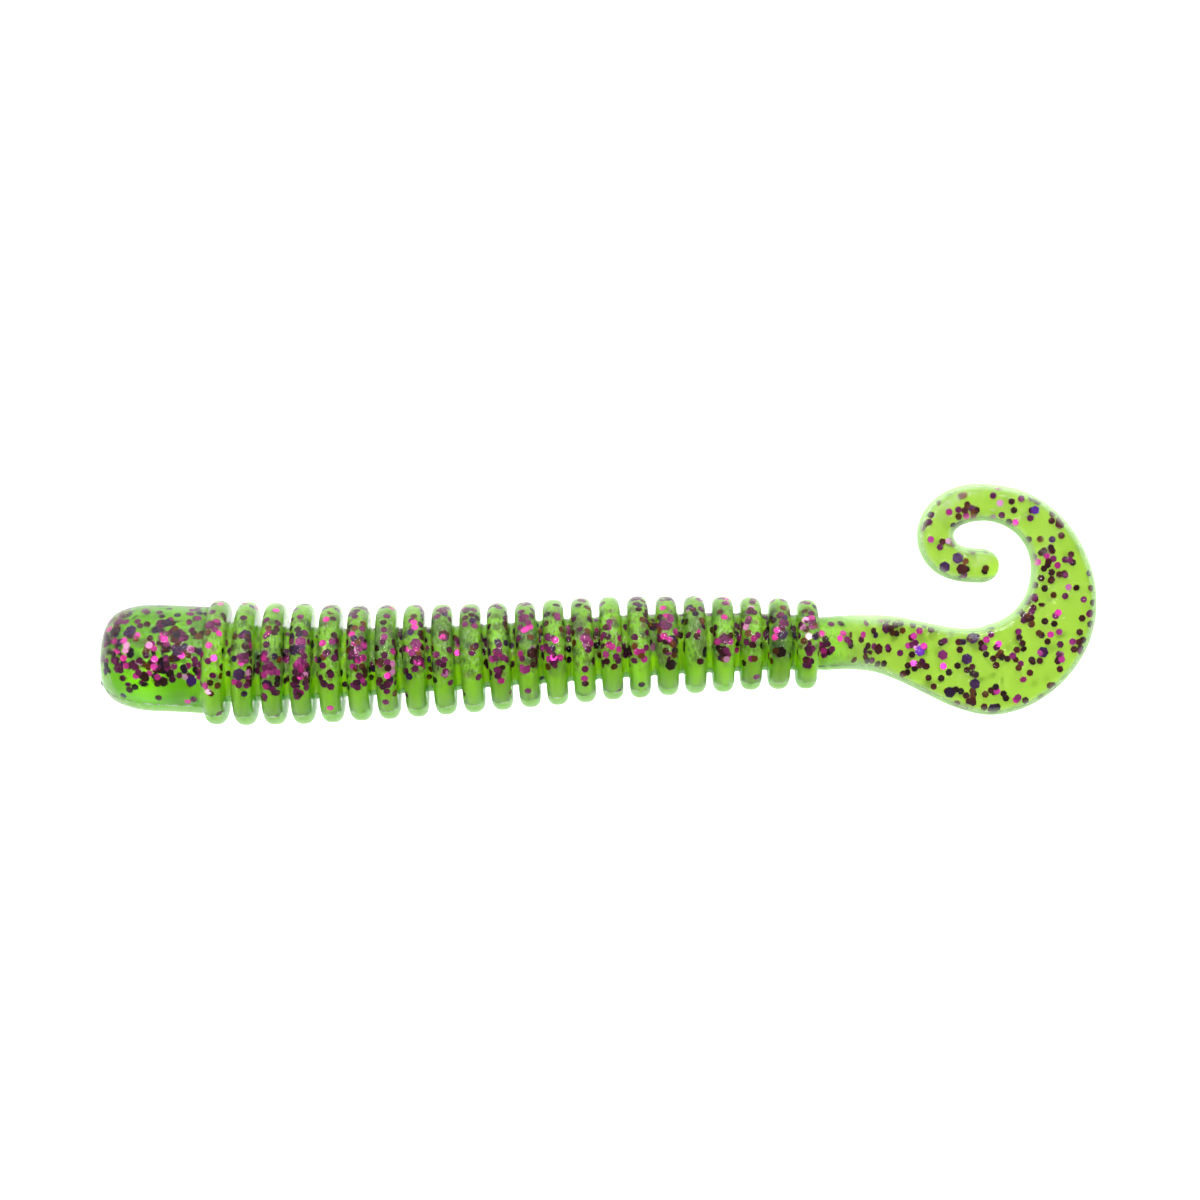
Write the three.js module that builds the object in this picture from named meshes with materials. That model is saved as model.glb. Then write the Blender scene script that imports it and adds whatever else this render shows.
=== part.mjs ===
// Soft plastic worm: a bullet head, 22 ribs (rings) on a tapering core, a stem and a flat curled tail.
// Units are millimetres. +X runs from the nose to the tail, +Z is up, and the worm lies on the plane z = 0:
// every ring touches it at its lowest facet and the tail blade lies flat on it. The curl turns towards +Y.
// The moulding is divided where it flexes: one section per ring, then short sections along the stem and the blade.
import * as THREE from 'three';

// ---------------------------------------------------------------- driving dimensions
const SIDES = 18;                 // facets round the body
const RING_WIDTH = 1.75;          // axial width of a ring
const RIM_ROUND = 0.50;           // radial height of the rounded rim
const RIM_FLAT = 0.42;            // half width left at the crest
const CONE_TIP = 0.12;            // axial clearance at a pivot, each side of it
const BODY_FLEX = 7.5;            // degrees each groove can bend before its rims meet
const SKIN_GAP = 0.30;            // gap between the head and the ring it carries

// ring centre x, y, radius, and heading of its axis in degrees (positive towards +Y)
const RINGS = [
  [-34.08, -5.20, 5.50, -1.9], [-31.55, -5.27, 5.48, -1.1], [-29.02, -5.29, 5.42, -0.3], [-26.52, -5.29, 5.36, 0.3],
  [-24.02, -5.26, 5.26, 0.8], [-21.54, -5.23, 5.15, 1.2], [-19.06, -5.15, 5.08, 1.7], [-16.59, -5.03, 5.00, 2.1],
  [-14.11, -4.94, 4.92, 2.5], [-11.62, -4.80, 4.86, 2.8], [-9.18, -4.67, 4.77, 3.4], [-6.72, -4.49, 4.72, 3.6],
  [-4.27, -4.28, 4.71, 3.5], [-1.80, -4.11, 4.66, 3.1], [0.67, -3.94, 4.60, 2.8], [3.13, -3.83, 4.53, 2.4],
  [5.62, -3.72, 4.43, 1.9], [8.09, -3.63, 4.34, 1.4], [10.58, -3.58, 4.27, 1.0], [13.05, -3.53, 4.15, 0.5],
  [15.56, -3.54, 4.07, -0.2], [18.05, -3.59, 3.98, -0.8],
];
// radius of the core in the groove after each ring; the last is where the stem begins
const CORE = [3.54, 3.34, 3.23, 3.16, 3.06, 2.99, 2.94, 2.88, 2.85, 2.83, 2.79, 2.82, 2.81, 2.80, 2.77, 2.75, 2.71, 2.67,
  2.63, 2.54, 2.46, 2.36];

// head: distance from the nose face along the axis, and radius
const HEAD_LENGTH = 10.32 - RING_WIDTH / 2 - SKIN_GAP;
const HEAD_PROFILE = [[0, 2.27], [0.35, 2.90], [0.75, 3.52], [1.30, 3.98], [2.05, 4.32], [3.30, 4.64], [5.20, 4.74]];
const HEAD_HEADING = -2.3;        // degrees
const HEAD_SHIFT = 0.20;          // the head's axis lies this far towards +Y of the first ring's

// stem and tail: distance along the centreline, x, y, half width
const TAIL = [
  [-1.00, 19.40, -3.54, 2.33], [0.00, 20.12, -3.51, 2.33], [1.00, 21.10, -3.46, 2.34], [2.00, 22.09, -3.43, 2.37],
  [3.00, 23.09, -3.45, 2.42], [4.00, 24.08, -3.52, 2.49], [5.00, 25.07, -3.65, 2.56], [6.00, 26.05, -3.84, 2.65],
  [7.00, 27.02, -4.10, 2.74], [8.00, 27.97, -4.40, 2.84], [9.00, 28.92, -4.72, 2.96], [10.00, 29.86, -5.05, 3.10],
  [11.00, 30.81, -5.35, 3.27], [12.00, 31.78, -5.62, 3.45], [13.00, 32.75, -5.83, 3.65], [14.00, 33.74, -5.97, 3.84],
  [15.00, 34.74, -5.98, 3.99], [16.00, 35.72, -5.80, 4.03], [17.00, 36.66, -5.47, 4.01], [18.00, 37.55, -5.01, 3.95],
  [19.00, 38.37, -4.45, 3.88], [20.00, 39.12, -3.79, 3.79], [21.00, 39.77, -3.04, 3.69], [22.00, 40.33, -2.21, 3.59],
  [23.00, 40.76, -1.31, 3.46], [24.00, 41.06, -0.36, 3.31], [25.00, 41.23, 0.62, 3.13], [26.00, 41.27, 1.62, 2.95],
  [27.00, 41.20, 2.61, 2.76], [28.00, 41.02, 3.59, 2.57], [29.00, 40.73, 4.55, 2.39], [30.00, 40.31, 5.45, 2.23],
  [31.00, 39.78, 6.30, 2.09], [32.00, 39.13, 7.05, 1.97], [33.00, 38.39, 7.72, 1.86], [34.00, 37.55, 8.26, 1.77],
  [35.00, 36.65, 8.68, 1.70], [36.00, 35.69, 8.96, 1.64], [37.00, 34.70, 9.11, 1.62], [38.00, 33.71, 9.12, 1.64],
  [39.00, 32.72, 9.00, 1.66], [40.00, 31.77, 8.70, 1.66], [41.00, 30.92, 8.19, 1.63], [42.00, 30.26, 7.46, 1.61],
  [43.00, 29.91, 6.55, 1.60], [44.00, 29.94, 5.57, 1.61], [45.00, 30.34, 4.69, 1.61], [46.00, 31.06, 4.02, 1.58],
  [47.00, 31.97, 3.63, 1.53], [48.00, 32.94, 3.47, 1.50], [49.00, 33.92, 3.43, 1.49], [49.28, 34.19, 3.42, 1.49],
];
const BLADE_HALF = 0.95;          // half thickness of the blade
const STEM_HALF = 2.36;           // half height of the stem where it leaves the last ring
const STEM_LIFT = 1.60;           // height of the stem's underside there
const TIP_ROUND = 1.45;           // how far the tip's rounding runs past the last station

// cuts along the stem and tail: distance, kind (up = about the lateral line, side = about the vertical,
// turn = about the centreline, open = about the vertical towards a straight tail), degrees of travel
const CUTS = [
  [-1.0, 'up', 7.5], [0.9, 'side', 15], [2.6, 'up', 15], [4.3, 'side', 15], [6.0, 'up', 15], [7.6, 'turn', 35],
  [9.4, 'up', 15], [11.6, 'open', 0], [14.0, 'open', 0], [16.2, 'up', 15], [18.4, 'open', 0], [20.6, 'open', 0],
  [22.8, 'up', 15], [25.0, 'open', 0], [27.2, 'open', 0], [29.4, 'up', 15], [31.6, 'open', 0], [33.8, 'open', 0],
  [36.0, 'open', 0], [38.0, 'open', 0], [39.8, 'open', 0], [41.4, 'open', 0], [43.0, 'open', 0], [44.6, 'open', 0],
  [46.2, 'open', 0],
];
const OPEN_SHARE = 0.80;          // share of the moulded curl that the tail can give up
const CLOSE_SHARE = 0.05;         // and how much tighter it can curl
const STEM_SECTIONS = 5;
const CENTRE = [0.085, 0.040];   // moves the middle of the overall box onto the origin

// colours: clear chartreuse plastic, a little deeper in the core, lighter in the thin blade
const BODY_COLOUR = 0x86c83a, HEAD_COLOUR = 0x7fc433, TAIL_COLOUR = 0xa3d858;

// ---------------------------------------------------------------- helpers
const rad = (d) => d * Math.PI / 180;
const smooth = (t) => { const c = Math.min(1, Math.max(0, t)); return c * c * (3 - 2 * c); };
const group = new THREE.Group();
const pivots = [];

function plastic(colour) {
  return new THREE.MeshStandardMaterial({ color: colour, roughness: 0.22, metalness: 0 });
}
function add(name, geometry, colour) {
  const mesh = new THREE.Mesh(geometry, plastic(colour));
  mesh.name = name;
  group.add(mesh);
  return mesh;
}
// a solid of revolution whose axis runs along X, with a facet facing down; its largest inscribed radius is the one given
function turned(profile) {
  const k = 1 / Math.cos(Math.PI / SIDES);
  const g = new THREE.LatheGeometry(profile.map(([x, r]) => new THREE.Vector2(r * k, x)), SIDES);
  const m = new THREE.Matrix4().makeBasis(new THREE.Vector3(0, 0, 1), new THREE.Vector3(1, 0, 0), new THREE.Vector3(0, 1, 0));
  g.applyMatrix4(m);
  return g;
}

// ---------------------------------------------------------------- body
const grooveAt = (i) => {         // pivot between ring i and ring i + 1, or the stem after the last
  const a = RINGS[i];
  const b = i + 1 < RINGS.length ? RINGS[i + 1] : [19.40, -3.54, a[2], a[3]];
  return i + 1 < RINGS.length ? [(a[0] + b[0]) / 2, (a[1] + b[1]) / 2, (a[2] + b[2]) / 2] : [19.40, -3.54, STEM_LIFT + STEM_HALF];
};
const coneRise = Math.tan(rad(BODY_FLEX / 2 + 0.15));

RINGS.forEach(([x, y, r, heading], i) => {
  const h = RING_WIDTH / 2;
  const right = Math.hypot(grooveAt(i)[0] - x, grooveAt(i)[1] - y);
  const left = i > 0 ? Math.hypot(x - grooveAt(i - 1)[0], y - grooveAt(i - 1)[1]) : 0;
  const cr = CORE[i], cl = i > 0 ? CORE[i - 1] : 0;
  const profile = [];
  if (i > 0) profile.push([-left + CONE_TIP, 0], [-left + CONE_TIP + cl * coneRise, cl], [-h, cl]);
  else profile.push([-h, 0]);
  profile.push([-h, r - RIM_ROUND], [-RIM_FLAT, r], [RIM_FLAT, r], [h, r - RIM_ROUND], [h, cr],
    [right - CONE_TIP - cr * coneRise, cr], [right - CONE_TIP, 0]);
  const ring = add(`ring_${String(i + 1).padStart(2, '0')}`, turned(profile), BODY_COLOUR);
  ring.position.set(x, y, r);
  ring.rotation.z = rad(heading);
  const [px, py, pz] = grooveAt(i);
  pivots.push({ after: ring.name, kind: i % 2 ? 'up' : 'side', range: BODY_FLEX, at: [px, py, pz], axis: i % 2 ? [0, -1, 0] : [0, 0, 1] });
});

// head: revolved profile whose flat nose faces -X
{
  const profile = [[0, 0], ...HEAD_PROFILE, [HEAD_LENGTH, 4.72], [HEAD_LENGTH, 0]];
  const head = add('head', turned(profile), HEAD_COLOUR);
  const [x, y, r] = RINGS[0];
  const back = RING_WIDTH / 2 + SKIN_GAP + HEAD_LENGTH;
  head.rotation.z = rad(HEAD_HEADING);
  head.position.set(x - back * Math.cos(rad(HEAD_HEADING)), y + HEAD_SHIFT - back * Math.sin(rad(HEAD_HEADING)), r);
}

// ---------------------------------------------------------------- stem and tail
const last = TAIL[TAIL.length - 1][0];
function station(s) {
  let i = 0;
  while (i < TAIL.length - 2 && TAIL[i + 1][0] < s) i += 1;
  const at = (k) => TAIL[Math.min(TAIL.length - 1, Math.max(0, k))];
  const t = (s - TAIL[i][0]) / (TAIL[i + 1][0] - TAIL[i][0]);
  const [p0, p1, p2, p3] = [at(i - 1), at(i), at(i + 1), at(i + 2)];
  const cr = (k) => 0.5 * (2 * p1[k] + (p2[k] - p0[k]) * t + (2 * p0[k] - 5 * p1[k] + 4 * p2[k] - p3[k]) * t * t
    + (3 * p1[k] - p0[k] - 3 * p2[k] + p3[k]) * t * t * t);
  return [cr(1), cr(2), cr(3)];
}
function heading(s) {
  const [a, b] = [station(Math.max(-1, s - 0.4)), station(Math.min(last, s + 0.4))];
  return Math.atan2(b[1] - a[1], b[0] - a[0]);
}
const half = (s) => BLADE_HALF + (STEM_HALF - BLADE_HALF) * (1 - smooth((s + 1) / 9.0));
const under = (s) => STEM_LIFT * (1 - smooth((s + 1) / 7.0));

// one cross-section: lateral offset, height from the section's middle; point 3 is the top centre, 9 the bottom centre
function outline(s) {
  const a = station(s)[2], b = Math.min(half(s), a * 1.02);
  const round = Math.min(1, Math.max(0, (b / a - 0.3) / 0.6));
  const e = a - b;
  const q = (d) => [e + b * Math.cos(rad(d)), b * Math.sin(rad(d))];
  const p1 = q(38), p2 = [q(75)[0], b * (1 + (Math.sin(rad(75)) - 1) * round)];
  return [[a, 0], p1, p2, [0, b], [-p2[0], p2[1]], [-p1[0], p1[1]], [-a, 0], [-p1[0], -p1[1]], [-p2[0], -p2[1]], [0, -b],
    [p2[0], -p2[1]], [p1[0], -p1[1]]];
}
// places section s, shifted along the centreline by a function of (lateral, height); lateral + is the curl's inner side
function place(s, shift = () => 0, scale = 1, forward = 0, flatten = 1) {
  const [x, y] = station(s);
  const th = heading(s), c = Math.cos(th), d = Math.sin(th), z = under(s) + half(s);
  return outline(s).map(([l, h]) => {
    const q = l * scale, v = h * flatten, f = forward + shift(q, v);
    return [x + c * f - d * q, y + d * f + c * q, z + v];
  });
}
function solid(sections, creases) {
  const n = 12, vertices = sections.flat(2), faces = [];
  const id = (k, j) => k * n + ((j + n) % n);
  for (let k = 0; k + 1 < sections.length; k += 1) {
    for (let j = 0; j < n; j += 1) {
      faces.push([id(k, j), id(k, j + 1), id(k + 1, j)], [id(k, j + 1), id(k + 1, j + 1), id(k + 1, j)]);
    }
  }
  // each end is two fans that meet on its crease: from the top centre to the bottom centre, or from side to side
  const cap = (k, flip, crease) => {
    const a = crease === 'side' ? 3 : 0;
    for (const from of [a, a + 6]) {
      for (let j = 1; j < 6; j += 1) {
        const t = [id(k, from), id(k, from + j), id(k, from + j + 1)];
        faces.push(flip ? [t[0], t[2], t[1]] : t);
      }
    }
  };
  cap(0, true, creases[0]);
  cap(sections.length - 1, false, creases[1]);
  const g = new THREE.BufferGeometry();
  g.setAttribute('position', new THREE.Float32BufferAttribute(vertices, 3));
  g.setIndex(faces.flat());
  return g;
}

// travel of each opening cut: the turn of the centreline between the midpoints to its neighbours of the same kind
const opens = CUTS.filter((c) => c[1] === 'open').map((c) => c[0]);
const unwrapped = [];
{
  let previous = 0;
  for (let s = 0; s <= last; s += 0.1) {
    let h = heading(s);
    while (h - previous > Math.PI) h -= 2 * Math.PI;
    while (h - previous < -Math.PI) h += 2 * Math.PI;
    unwrapped.push([s, h]);
    previous = h;
  }
}
const turnAt = (s) => unwrapped.reduce((a, b) => (Math.abs(b[0] - s) < Math.abs(a[0] - s) ? b : a))[1];
opens.forEach((s, k) => {
  const from = k > 0 ? (opens[k - 1] + s) / 2 : s - 1.1;
  const to = k + 1 < opens.length ? (opens[k + 1] + s) / 2 : last - 0.4;
  CUTS.find((c) => c[0] === s)[2] = Math.max(4, Math.round((turnAt(to) - turnAt(from)) * 180 / Math.PI * OPEN_SHARE * 10) / 10);
});

// how far a section's end face stands back from its cut
function setBack(cut) {
  const [, kind, travel] = cut;
  const both = Math.tan(rad(travel / 2 + 0.3));
  if (kind === 'up') return (l, v) => CONE_TIP + 0.02 + Math.abs(v) * both;
  if (kind === 'side') return (l) => CONE_TIP + 0.02 + Math.abs(l) * both;
  if (kind === 'turn') return () => 0.15;
  const tighter = Math.tan(rad(travel * CLOSE_SHARE / OPEN_SHARE / 2 + 0.6));
  return (l) => CONE_TIP + 0.02 + (l < 0 ? -l * both : l * tighter);
}
const crease = (cut) => (cut[1] === 'up' ? 'up' : 'side');

CUTS.forEach((cut, k) => {
  const next = CUTS[k + 1];
  const name = k < STEM_SECTIONS ? `stem_${k + 1}` : next ? `tail_${String(k - STEM_SECTIONS + 1).padStart(2, '0')}` : 'tail_tip';
  const back = setBack(cut);
  const sections = [place(cut[0], (l, v) => back(l, v))];
  if (next) {
    const ahead = setBack(next);
    sections.push(place((cut[0] + next[0]) / 2));
    sections.push(place(next[0], (l, v) => -ahead(l, v)));
    add(name, solid(sections, [crease(cut), crease(next)]), TAIL_COLOUR);
  } else {
    sections.push(place((cut[0] + last) / 2), place(last));
    for (const t of [32, 58, 78]) {
      sections.push(place(last, () => 0, Math.cos(rad(t)), TIP_ROUND * Math.sin(rad(t)), t < 70 ? 1 : 0.72));
    }
    add(name, solid(sections, [crease(cut), 'side']), TAIL_COLOUR);
  }
  if (k > 0) {
    const th = heading(cut[0]), [x, y] = station(cut[0]);
    const axis = cut[1] === 'up' ? [Math.sin(th), -Math.cos(th), 0] : cut[1] === 'side' ? [0, 0, 1]
      : cut[1] === 'open' ? [0, 0, -1] : [Math.cos(th), Math.sin(th), 0];
    pivots.push({ after: group.children[group.children.length - 2].name, before: name, kind: cut[1], range: cut[2],
      at: [x, y, under(cut[0]) + half(cut[0])], axis });
  }
});
group.position.set(CENTRE[0], CENTRE[1], 0);
group.userData.pivots = pivots;       // hinge points and axes in the group's own frame

export default group;
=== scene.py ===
import bpy
import math
import random
import numpy as np
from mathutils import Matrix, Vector
from mathutils.bvhtree import BVHTree

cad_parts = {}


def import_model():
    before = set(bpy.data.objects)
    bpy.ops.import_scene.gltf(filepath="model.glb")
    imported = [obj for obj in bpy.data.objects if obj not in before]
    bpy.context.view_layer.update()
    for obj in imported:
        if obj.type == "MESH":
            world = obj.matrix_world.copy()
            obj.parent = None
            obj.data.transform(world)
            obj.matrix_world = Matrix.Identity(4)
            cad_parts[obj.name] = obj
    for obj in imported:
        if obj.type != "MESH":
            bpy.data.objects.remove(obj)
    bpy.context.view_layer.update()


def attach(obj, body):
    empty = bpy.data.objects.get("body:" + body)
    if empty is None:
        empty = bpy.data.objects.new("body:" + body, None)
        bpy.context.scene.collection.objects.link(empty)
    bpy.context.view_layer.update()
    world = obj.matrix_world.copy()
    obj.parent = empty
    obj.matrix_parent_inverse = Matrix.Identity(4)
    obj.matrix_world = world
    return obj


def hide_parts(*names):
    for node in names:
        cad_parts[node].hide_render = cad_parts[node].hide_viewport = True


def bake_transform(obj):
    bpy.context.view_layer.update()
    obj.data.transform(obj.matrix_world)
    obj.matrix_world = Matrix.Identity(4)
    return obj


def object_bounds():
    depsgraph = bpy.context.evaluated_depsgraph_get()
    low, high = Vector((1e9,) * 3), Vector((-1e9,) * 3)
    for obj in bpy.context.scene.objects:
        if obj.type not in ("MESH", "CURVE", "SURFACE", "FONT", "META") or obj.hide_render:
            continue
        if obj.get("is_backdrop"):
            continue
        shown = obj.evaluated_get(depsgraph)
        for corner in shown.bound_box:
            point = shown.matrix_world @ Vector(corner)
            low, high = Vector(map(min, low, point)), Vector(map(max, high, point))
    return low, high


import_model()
MM = 0.001
scene = bpy.context.scene

# ------------------------------------------------------------------ where things are (mm, row frame)
CX, CY = 0.085, 0.040
RINGS = [
    (-34.08, -5.20, 5.50, -1.9), (-31.55, -5.27, 5.48, -1.1), (-29.02, -5.29, 5.42, -0.3), (-26.52, -5.29, 5.36, 0.3),
    (-24.02, -5.26, 5.26, 0.8), (-21.54, -5.23, 5.15, 1.2), (-19.06, -5.15, 5.08, 1.7), (-16.59, -5.03, 5.00, 2.1),
    (-14.11, -4.94, 4.92, 2.5), (-11.62, -4.80, 4.86, 2.8), (-9.18, -4.67, 4.77, 3.4), (-6.72, -4.49, 4.72, 3.6),
    (-4.27, -4.28, 4.71, 3.5), (-1.80, -4.11, 4.66, 3.1), (0.67, -3.94, 4.60, 2.8), (3.13, -3.83, 4.53, 2.4),
    (5.62, -3.72, 4.43, 1.9), (8.09, -3.63, 4.34, 1.4), (10.58, -3.58, 4.27, 1.0), (13.05, -3.53, 4.15, 0.5),
    (15.56, -3.54, 4.07, -0.2), (18.05, -3.59, 3.98, -0.8),
]
RINGS = [(x + CX, y + CY, r, h) for x, y, r, h in RINGS]
CORE = [3.54, 3.34, 3.23, 3.16, 3.06, 2.99, 2.94, 2.88, 2.85, 2.83, 2.79, 2.82, 2.81, 2.80, 2.77, 2.75, 2.71, 2.67,
        2.63, 2.54, 2.46, 2.36]
CORE_SHIFT = [0.06, 0.03, 0.01, 0.02, 0.05, 0.08, 0.08, 0.09, 0.10, 0.11, 0.13, 0.12, 0.11, 0.10, 0.12, 0.13, 0.14, 0.14,
              0.14, 0.15, 0.13, 0.08]
HEAD_LENGTH = 10.32 - 0.875
HEAD_HEADING = -2.3
HEAD_SHIFT = 0.20
TAIL = [
    (-1.00, 19.40, -3.54, 2.33), (0.00, 20.12, -3.51, 2.33), (1.00, 21.10, -3.46, 2.34), (2.00, 22.09, -3.43, 2.37),
    (3.00, 23.09, -3.45, 2.42), (4.00, 24.08, -3.52, 2.49), (5.00, 25.07, -3.65, 2.56), (6.00, 26.05, -3.84, 2.65),
    (7.00, 27.02, -4.10, 2.74), (8.00, 27.97, -4.40, 2.84), (9.00, 28.92, -4.72, 2.96), (10.00, 29.86, -5.05, 3.10),
    (11.00, 30.81, -5.35, 3.27), (12.00, 31.78, -5.62, 3.45), (13.00, 32.75, -5.83, 3.65), (14.00, 33.74, -5.97, 3.84),
    (15.00, 34.74, -5.98, 3.99), (16.00, 35.72, -5.80, 4.03), (17.00, 36.66, -5.47, 4.01), (18.00, 37.55, -5.01, 3.95),
    (19.00, 38.37, -4.45, 3.88), (20.00, 39.12, -3.79, 3.79), (21.00, 39.77, -3.04, 3.69), (22.00, 40.33, -2.21, 3.59),
    (23.00, 40.76, -1.31, 3.46), (24.00, 41.06, -0.36, 3.31), (25.00, 41.23, 0.62, 3.13), (26.00, 41.27, 1.62, 2.95),
    (27.00, 41.20, 2.61, 2.76), (28.00, 41.02, 3.59, 2.57), (29.00, 40.73, 4.55, 2.39), (30.00, 40.31, 5.45, 2.23),
    (31.00, 39.78, 6.30, 2.09), (32.00, 39.13, 7.05, 1.97), (33.00, 38.39, 7.72, 1.86), (34.00, 37.55, 8.26, 1.77),
    (35.00, 36.65, 8.68, 1.70), (36.00, 35.69, 8.96, 1.64), (37.00, 34.70, 9.11, 1.62), (38.00, 33.71, 9.12, 1.64),
    (39.00, 32.72, 9.00, 1.66), (40.00, 31.77, 8.70, 1.66), (41.00, 30.92, 8.19, 1.63), (42.00, 30.26, 7.46, 1.61),
    (43.00, 29.91, 6.55, 1.60), (44.00, 29.94, 5.57, 1.61), (45.00, 30.34, 4.69, 1.61), (46.00, 31.06, 4.02, 1.58),
    (47.00, 31.97, 3.63, 1.53), (48.00, 32.94, 3.47, 1.50), (49.00, 33.92, 3.43, 1.49),
    (49.28, 34.19, 3.42, 1.49),
]
TAIL = np.array(TAIL, float)
TAIL[:, 1] += CX
TAIL[:, 2] += CY
LAST = float(TAIL[-1, 0])
CUTS = [-1.0, 0.9, 2.6, 4.3, 6.0, 7.6, 9.4, 11.6, 14.0, 16.2, 18.4, 20.6, 22.8, 25.0, 27.2, 29.4, 31.6, 33.8, 36.0,
        38.0, 39.8, 41.4, 43.0, 44.6, 46.2]
BLADE_HALF, STEM_HALF, STEM_LIFT, TIP_ROUND = 0.95, 2.36, 1.60, 1.45

# ------------------------------------------------------------------ camera: straight down from 275 mm
CAMERA_XY = (-0.32 + CX, 0.335 + CY)
camera_data = bpy.data.cameras.new("camera")
camera_data.sensor_width = 36.0
camera_data.lens = 91.3
camera_data.clip_start = 0.01
camera_data.clip_end = 10.0
camera = bpy.data.objects.new("camera", camera_data)
camera.location = (CAMERA_XY[0] * MM, CAMERA_XY[1] * MM, 0.275)
camera.rotation_euler = (0, 0, 0)
scene.collection.objects.link(camera)
scene.camera = camera


# ------------------------------------------------------------------ the one continuous skin, as a grid of stations
# 96 even columns, and four close together where the two halves of the mould met
PARTING = 39.5
COLUMNS = np.array(sorted(list(range(96)) + [q + d for q in (PARTING, PARTING + 48) for d in (-0.34, -0.10, 0.10, 0.34)]), float)
AROUND = len(COLUMNS)
SEAM = [int(np.argmin(np.abs(COLUMNS - (q + d)))) for q in (PARTING, PARTING + 48) for d in (-0.10, 0.10)]


def smooth(t):
    t = np.clip(t, 0.0, 1.0)
    return t * t * (3 - 2 * t)


def spline(values, s):
    """Catmull-Rom through the tail's stations."""
    k = np.clip(np.searchsorted(TAIL[:, 0], s, side="right") - 1, 0, len(TAIL) - 2)
    t = (s - TAIL[k, 0]) / (TAIL[k + 1, 0] - TAIL[k, 0])
    n = len(TAIL) - 1
    p0, p1, p2, p3 = (values[np.clip(k + d, 0, n)] for d in (-1, 0, 1, 2))
    return 0.5 * (2 * p1 + (p2 - p0) * t + (2 * p0 - 5 * p1 + 4 * p2 - p3) * t * t + (3 * p1 - p0 - 3 * p2 + p3) * t ** 3)


def tail_at(s):
    s = np.asarray(s, float)
    return spline(TAIL[:, 1], s), spline(TAIL[:, 2], s), spline(TAIL[:, 3], s)


def tail_heading(s):
    a, b = np.maximum(-1.0, np.asarray(s) - 0.5), np.minimum(LAST, np.asarray(s) + 0.5)
    ax, ay, _ = tail_at(a)
    bx, by, _ = tail_at(b)
    return np.arctan2(by - ay, bx - ax)


def half(s):
    return BLADE_HALF + (STEM_HALF - BLADE_HALF) * (1 - smooth((s + 1) / 9.0))


def under(s):
    return STEM_LIFT * (1 - smooth((s + 1) / 7.0))


def section(a, b, flat):
    """Points round a cross-section, from the curl's side over the top: a half width, b half height."""
    e = max(a - b, 0.0)
    quadrant = np.floor(COLUMNS / 24.0).astype(int)
    j = COLUMNS - 24.0 * quadrant
    j = np.where(quadrant % 2 == 1, 24.0 - j, j)
    corner = 24.0 - 8.0 * flat
    phi = np.pi / 2 * np.minimum(1.0, j / corner)
    keep = np.where(j > corner, 1 - (j - corner) / max(24.0 - corner, 1e-6), 1.0)
    x = e * keep + min(a, b) * np.cos(phi)
    y = b * np.sin(phi)
    return np.where((quadrant == 1) | (quadrant == 2), -x, x), np.where(quadrant >= 2, -y, y)


stations = []   # each: centre, heading, lateral points, height points, tag, position along


inner = []      # the same stations for the cloudy middle, under a clear layer


def put(centre, heading, a, b, flat, along, region, shift=0.0, lean=0.0, core=None):
    """One station of the skin, and one of the cloudy middle: core is its axial shift, half width and half height."""
    xs, ys = section(a, b, flat)
    stations.append(dict(c=centre, h=heading, x=xs + shift, y=ys, along=along, region=region, lean=lean))
    back, ca, cb = core
    ca, cb = max(ca, 0.01), max(cb, 0.01)
    xs, ys = section(ca, cb, float(np.clip((ca / cb - 1.0) / 0.6, 0, 1)))
    place = (centre[0] + back * math.cos(heading), centre[1] + back * math.sin(heading), centre[2])
    inner.append(dict(c=place, h=heading, x=xs + shift, y=ys))


rng = random.Random(7)
# head
hh = math.radians(HEAD_HEADING)
hx0 = RINGS[0][0] - (0.875 + HEAD_LENGTH) * math.cos(hh)
hy0 = RINGS[0][1] + HEAD_SHIFT - (0.875 + HEAD_LENGTH) * math.sin(hh)
HEAD_PROFILE = np.array([(0.0, 0.02), (0.015, 0.9), (0.06, 1.7), (0.16, 2.25), (0.36, 2.84), (0.70, 3.42), (1.25, 3.93),
                         (2.0, 4.28), (3.1, 4.58), (4.4, 4.70), (6.2, 4.735), (8.2, 4.74), (9.30, 4.74)])


def rounded(points, n):
    """Resamples a profile through its points with a smooth curve."""
    p = np.asarray(points, float)
    d = np.r_[0, np.cumsum(np.sqrt(np.linalg.norm(np.diff(p, axis=0), axis=1)))]
    t = np.linspace(0, d[-1], n)
    out = np.empty((n, 2))
    for i, q in enumerate(t):
        k = min(max(np.searchsorted(d, q, side="right") - 1, 0), len(p) - 2)
        u = (q - d[k]) / (d[k + 1] - d[k])
        p1, p2 = p[k], p[k + 1]
        m1 = (p[k + 1] - p[max(k - 1, 0)]) / (d[k + 1] - d[max(k - 1, 0)]) * (d[k + 1] - d[k])
        e = min(k + 2, len(p) - 1)
        m2 = (p[e] - p[k]) / (d[e] - d[k]) * (d[k + 1] - d[k])
        out[i] = ((2 * u**3 - 3 * u**2 + 1) * p1 + (u**3 - 2 * u**2 + u) * m1 + (-2 * u**3 + 3 * u**2) * p2
                  + (u**3 - u**2) * m2)
    return out


HEAD_CLEAR = 1.15
for a, r in rounded(HEAD_PROFILE, 54):
    # the middle keeps its distance from the nose and narrows to the first ring's
    deep = HEAD_CLEAR - 0.30 * float(smooth((a - 8.0) / 1.3))
    back = HEAD_CLEAR * (1 - a / 9.3) ** 2 if a < 9.3 else 0.0
    put((hx0 + a * math.cos(hh), hy0 + a * math.sin(hh), RINGS[0][2]), hh, max(r, 0.02), max(r, 0.02), 0.0,
        -60 + a, "head", core=(back, max(r * 0.80, r - 0.70 * deep), max(r * 0.76, r - deep)))
HEAD_END = len(stations)

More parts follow.
